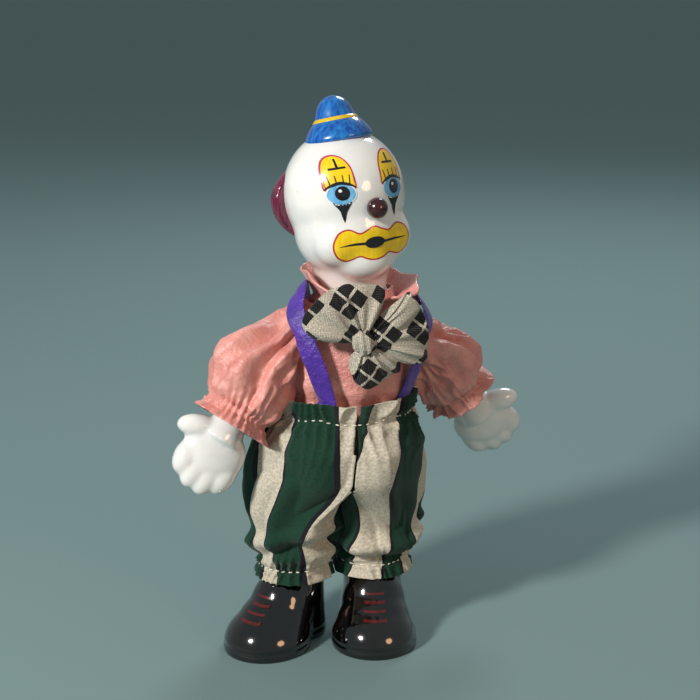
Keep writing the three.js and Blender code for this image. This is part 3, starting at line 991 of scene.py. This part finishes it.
def makeBrace(side, surface):
    line, outs = [], []
    for point in splinePoints(brace[side], 8):
        hit, normal, _, _ = surface.find_nearest(point)
        outward = Vector((point.x, point.y * 1.2, max(0, point.z - 46) * 1.5)).normalized()
        if normal.dot(outward) < 0:
            normal = -normal
        outs.append((normal * 0.4 + outward * 0.6).normalized())
        gap = (point - hit).dot(outward)
        line.append(hit + outward * max(brace["off"], min(gap, 6.5)))
    for _ in range(6):
        line[1:-1] = [(a + b * 2 + c) / 4 for a, b, c in zip(line, line[1:], line[2:])]
        outs[1:-1] = [(a + b * 2 + c).normalized() for a, b, c in zip(outs, outs[1:], outs[2:])]
    bm = bmesh.new()
    layer = bm.loops.layers.uv.new("cloth")
    rows, along = [], 0
    for i, (point, out) in enumerate(zip(line, outs)):
        tangent = (line[min(i + 1, len(line) - 1)] - line[max(i - 1, 0)]).normalized()
        across = tangent.cross(out).normalized()
        if i:
            along += (point - line[i - 1]).length
        twist = 0.5 * sin(along * 0.16)
        row = []
        for k in range(9):
            t = (k / 8 - 0.5) * 2
            sag = -0.35 * t * t + 0.12 * sin(t * 4 + along * 0.3) + 0.35 * twist * t
            row.append((bm.verts.new(point + across * t * brace["width"] / 2 + out * sag),
                        (t * brace["width"] / 2, along)))
        rows.append(row)
    joinRows(bm, layer, rows)
    piece = makePiece(f"{side}_ribbon_brace", bm, trunkFrame, ribbonSatin, "torso",
                      (f"{side}_brace",))
    thickened(piece, brace["thick"], 0)
    return subdivided(piece, 1)


shirtSurface = surfaceTree(shirtPiece, trunkFrame)
for side in sides:
    makeBrace(side, shirtSurface)
print("braces laid")

# The bow is cotton folded into fans round a knot: each fan is (degrees, reach in mm) round the
# knot, as seen from the front, and how far it swells
bow = {
    "knot": (-1.2, 45.0), "back": -16.6,
    "right": {"edge": [(66, 10), (72, 15.6), (88, 16.0), (112, 16.6), (132, 17.4), (150, 17.8),
                       (168, 17.6), (180, 14.0), (186, 9.0)], "swell": 3.4, "seed": 3, "layer": 0.0},
    "left": {"edge": [(62, 9), (53, 17.8), (47, 18.6), (38, 18.4), (24, 18.6), (8, 19.0), (-6, 18.8),
                      (-16, 18.4), (-24, 14.0)], "swell": 3.0, "seed": 7, "layer": 0.6},
    "tail": {"edge": [(-20, 12.0), (-34, 13.6), (-50, 12.6), (-68, 13.0), (-80, 13.4), (-96, 11.4),
                      (-112, 8.0), (-128, 5.4)], "swell": 2.2, "seed": 12, "layer": 1.1},
    "rings": 22, "ripple": 1.0, "dent": 0.7, "lift": 1.2, "rise": 0.25,
    "knotRadii": (3.0, 2.3, 3.8), "knotLift": 3.6, "knotTurn": -24,
}


def makeBowFan(name, replaced):
    fan = bow[name]
    edge = [Vector((cos(radians(a)), sin(radians(a)))) * r for a, r in fan["edge"]]
    rims = splinePoints(edge, 8)
    bm = bmesh.new()
    layer = bm.loops.layers.uv.new("cloth")
    for front in (True, False):
        rows = []
        for i, rim in enumerate(rims):
            u = i / (len(rims) - 1)
            row = []
            for k in range(bow["rings"] + 1):
                v = k / bow["rings"]
                flat = rim * (0.06 + 0.94 * v)
                side = min(1, 5 * min(u, 1 - u)) ** 0.5
                # the fan swells where the cotton isn't pinched, and folds run out from the knot
                body = fan["swell"] * (sin(pi * min(1, v * 0.93 + 0.05)) ** 0.7) * side
                fold = bow["ripple"] * drape(u * 6.3, v * 10, 3, fan["seed"], 1.2)
                fold *= (0.35 + 0.65 * v) * side
                creased = fold + bow["dent"] * foldNoise(flat.x * 0.14, flat.y * 0.14, 0, fan["seed"])
                inside = 1 - v ** 12
                if front:
                    deep, rise = body + creased, bow["rise"] if body < 0.2 else 0
                else:
                    deep, rise = min(0.2, creased * 0.8) - body * 0.15, -bow["rise"]
                deep = deep * inside + creased * 0.8 * (1 - inside)
                vert = bm.verts.new((bow["knot"][0] + flat.x,
                                     bow["back"] - bow["lift"] - fan["layer"] - deep - rise * inside,
                                     bow["knot"][1] + flat.y))
                row.append((vert, (flat.x + 40 + fan["seed"], flat.y + 40)))
            rows.append(row)
        joinRows(bm, layer, rows, not front)
    bmesh.ops.remove_doubles(bm, verts=bm.verts, dist=0.02)
    bmesh.ops.recalc_face_normals(bm, faces=bm.faces)
    subdivided(makePiece(f"bow_{name}_fan", bm, trunkFrame, bowCotton, "torso", replaced), 1)


def makeBowKnot():
    bm = bmesh.new()
    layer = bm.loops.layers.uv.new("cloth")
    x, z = bow["knot"]
    addLump(bm, (x, bow["back"] - bow["knotLift"], z), bow["knotRadii"],
            rotation(bow["knotTurn"], "Y"), 36, 24)
    for vert in bm.verts:
        vert.co += vert.normal * 0.35 * sin(vert.co.x * 3.2 + vert.co.z * 0.6)
    for face in bm.faces:
        for loop in face.loops:
            loop[layer].uv = (loop.vert.co.x + 23, loop.vert.co.z + 9)
    makePiece("bow_wrap", bm, trunkFrame, bowCotton, "torso", ("bow_knot",))


makeBowFan("right", ("bow_right_loop",))
makeBowFan("left", ("bow_left_loop",))
makeBowFan("tail", ())
makeBowKnot()
print("bow folded")


# Unbleached calico over polyester stuffing: plain weave, slightly lumpy, seen only at the gaps
def calicoMaterial():
    material, tree, shader = newMaterial("calico", "d9ccb4", 0.9, Sheen_Weight=0.2)
    fine = objectNoise(tree, 2600.0, 2.0)
    colourFrom(tree, shader, ramp(tree, fine, ((0.3, "c8b99e"), (0.7, "e2d7c2"))))
    bumpFrom(tree, shader, fine, 0.4, 0.0002)
    return material


# Annealed steel wire: dull grey with fine drawing marks
def wireMaterial():
    material, tree, shader = newMaterial("annealedWire", "6f7175", 0.42, Metallic=1.0)
    bumpFrom(tree, shader, objectNoise(tree, 900.0, 2.0), 0.2, 0.0001)
    return material


# Wound polyester thread: fine turns across the tie
def tieMaterial():
    material, tree, shader = newMaterial("woundThread", "dcd6c8", 0.75, Sheen_Weight=0.3)
    place = addNode(tree, "TexCoord").outputs["Object"]
    turns = addNode(tree, "TexWave", {"Scale": 700.0, "Distortion": 1.5, "Vector": place},
                    bands_direction="Z")
    bumpFrom(tree, shader, turns.outputs["Fac"], 0.8, 0.0002)
    return material


# The stuffed bags: the sewn cloth puckers a little over its filling
bag = {"pucker": 0.35, "grain": 0.22, "fill": 0.8}
limbs = ("upper_arm", "forearm", "leg")
bagNodes = ["torso_bag"] + [f"{side}_{limb}" for side in sides for limb in limbs]
calico = calicoMaterial()


def makeBag(name, body):
    bm = bmesh.new()
    bm.from_mesh(frame["nodes"][name].data)
    bmesh.ops.transform(bm, matrix=Matrix.Scale(1 / mm, 4) @ frame["nodes"][name].matrix_world,
                        verts=bm.verts)
    bmesh.ops.remove_doubles(bm, verts=bm.verts, dist=0.005)
    bmesh.ops.subdivide_edges(bm, edges=bm.edges, cuts=1, use_grid_fill=True)
    bm.normal_update()
    moved = [vert.co - vert.normal * bag["pucker"] * (0.5 + 0.5 * noise.noise(vert.co * bag["grain"]))
             for vert in bm.verts]
    for vert, place in zip(bm.verts, moved):
        vert.co = place
    piece = makePiece(f"stuffed_{name}", bm, Matrix.Scale(mm, 4), calico, body, (name,))


nodeBody = {node: body for body, nodes in frame["record"]["behaviour"]["bodies"].items()
            for node in nodes}
for name in bagNodes:
    makeBag(name, nodeBody[name])

# The CAD's own wires and ties stay, in what they are made of
kept = {"wire": wireMaterial(), "thread": tieMaterial()}
slots = {part["node"]: part["material_slot"] for part in frame["record"]["subparts"]}
for name, node in frame["nodes"].items():
    if slots.get(name) in kept:
        node.data.materials.clear()
        node.data.materials.append(kept[slots[name]])
print("bags, wires and ties finished")


view = {"azimuth": -12.0, "elevation": 14.0, "distance": 0.420, "aim": (-0.00115, 0.00067, 0.084),
        "lens": 76.3}


def makeStudio():
    bpy.ops.mesh.primitive_plane_add(size=60)
    floor = bpy.context.object
    floor.name = "studio_floor"
    material, tree, shader = newMaterial("tealBackdrop", "6f8888", 0.85)
    floor.data.materials.append(material)
    world = bpy.data.worlds.new("studio")
    bpy.context.scene.world = world
    world.use_nodes = True
    background = world.node_tree.nodes["Background"]
    background.inputs["Color"].default_value = hexColour("c9d6d8")
    background.inputs["Strength"].default_value = 0.4
    # the camera sees the sweep's own colour past the floor's far edge
    tree = world.node_tree
    seen = addNode(tree, "Background", {"Color": hexColour("566a6a")})
    path = addNode(tree, "LightPath")
    both = addNode(tree, "MixShader", {0: path.outputs["Is Camera Ray"],
                                                 1: background.outputs["Background"],
                                                 2: seen.outputs["Background"]})
    tree.links.new(both.outputs["Shader"], tree.nodes["World Output"].inputs["Surface"])
    # name: place, size, watts, colour
    for name, (place, size, power, colour) in {
        "key": ((-0.72, -0.48, 0.56), 0.14, 10.5, "fffaf4"),
        "fill": ((0.5, -0.8, 0.4), 0.3, 1.6, "ffc89c"),
        "rim": ((0.35, 0.6, 0.7), 0.3, 3.0, "f4f8ff"),
    }.items():
        lamp = bpy.data.lights.new(name, "AREA")
        lamp.energy = power
        lamp.shape = "DISK"
        lamp.size = size
        lamp.color = hexColour(colour)[:3]
        holder = bpy.data.objects.new(name, lamp)
        holder.location = place
        holder.rotation_euler = (Vector(view["aim"]) - Vector(place)).to_track_quat("-Z", "Y").to_euler()
        bpy.context.scene.collection.objects.link(holder)
    azimuth, elevation = radians(view["azimuth"]), radians(view["elevation"])
    back = Vector((sin(azimuth) * cos(elevation), -cos(azimuth) * cos(elevation),
                   sin(elevation)))
    lens = bpy.data.cameras.new("camera")
    lens.lens = view["lens"]
    lens.clip_start = 0.01
    camera = bpy.data.objects.new("camera", lens)
    camera.location = Vector(view["aim"]) + back * view["distance"]
    camera.rotation_euler = (-back).to_track_quat("-Z", "Y").to_euler()
    bpy.context.scene.collection.objects.link(camera)
    bpy.context.scene.camera = camera


makeStudio()
bpy.context.scene.view_settings.view_transform = "Standard"
